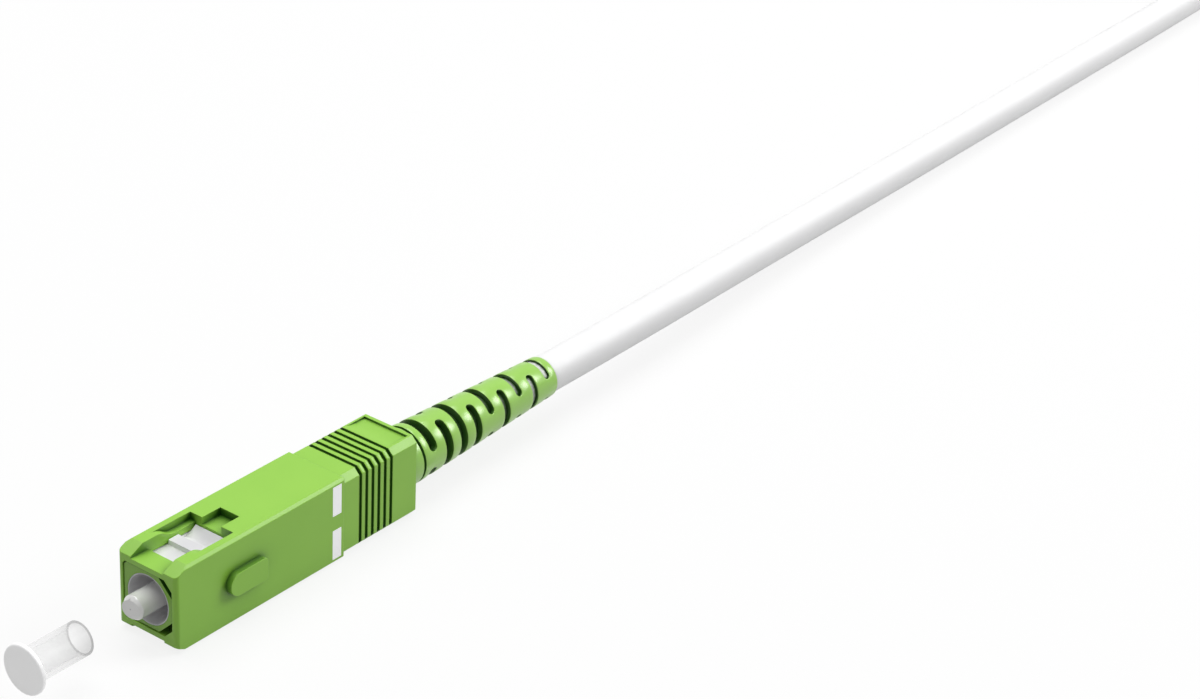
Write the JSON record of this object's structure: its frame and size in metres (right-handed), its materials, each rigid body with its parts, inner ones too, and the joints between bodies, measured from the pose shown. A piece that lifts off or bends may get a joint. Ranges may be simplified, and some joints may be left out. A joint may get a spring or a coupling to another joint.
{
  "type": "sc fibre connector",
  "caption": "Square push-pull fibre connector with sliding keyed housing, sprung angle-polished ferrule, slotted boot, round cable in a tied hank and pull-off dust cap.",
  "frame": {"origin": "on the ferrule axis, in the plane of the outer housing's front face", "axes": "+X out of the ferrule towards the mating adapter, +Y towards the key, +Z towards the upper latch window"},
  "size_m": [0.3128, 0.0365, 0.0176],
  "materials": {
    "green_plastic": "satin moulded",
    "green_boot": "satin moulded, flexible",
    "white_plastic": "satin moulded",
    "ceramic": "polished zirconia ceramic",
    "glass_fibre": "polished",
    "nickel": "nickel plated brass",
    "spring_steel": "drawn wire",
    "guide_plastic": "extruded",
    "buffer_plastic": "extruded",
    "yarn": "loose aramid yarn",
    "aluminium": "crimped",
    "clear_plastic": "clear moulded",
    "white_jacket": "extruded",
    "tie_strap": "woven hook and loop strap"
  },
  "bodies": {
    "plug": {"plug_frame": "white_plastic", "nose_bezel": "green_plastic", "stop_ring": "nickel", "crimp_sleeve": "aluminium", "strength_yarn": "yarn", "boot": "green_boot", "fibre_buffer": "buffer_plastic", "spring": "spring_steel", "cable_jacket": "white_jacket", "cable_hank": "white_jacket", "hank_tie_near": "tie_strap", "hank_tie_far": "tie_strap"},
    "housing": {"outer_housing": "green_plastic"},
    "ferrule_group": {"ferrule": "ceramic", "ferrule_flange": "nickel", "bare_fibre": "glass_fibre", "guide_tube": "guide_plastic"},
    "cap": {"dust_cap": "clear_plastic"}
  },
  "joints": [
    {"name": "housing_slide", "type": "slide", "parent": "plug", "child": "housing", "axis": [1, 0, 0], "range_m": [-0.002, 0]},
    {"name": "ferrule_float", "type": "slide", "parent": "plug", "child": "ferrule_group", "axis": [1, 0, 0], "range_m": [-0.0008, 0], "stiffness_N_per_m": 1700, "deforming": ["spring", "fibre_buffer"]},
    {"name": "cap_pull", "type": "slide", "parent": "plug", "child": "cap", "axis": [1, 0, 0], "range_m": [-0.01235, 0]}
  ]
}
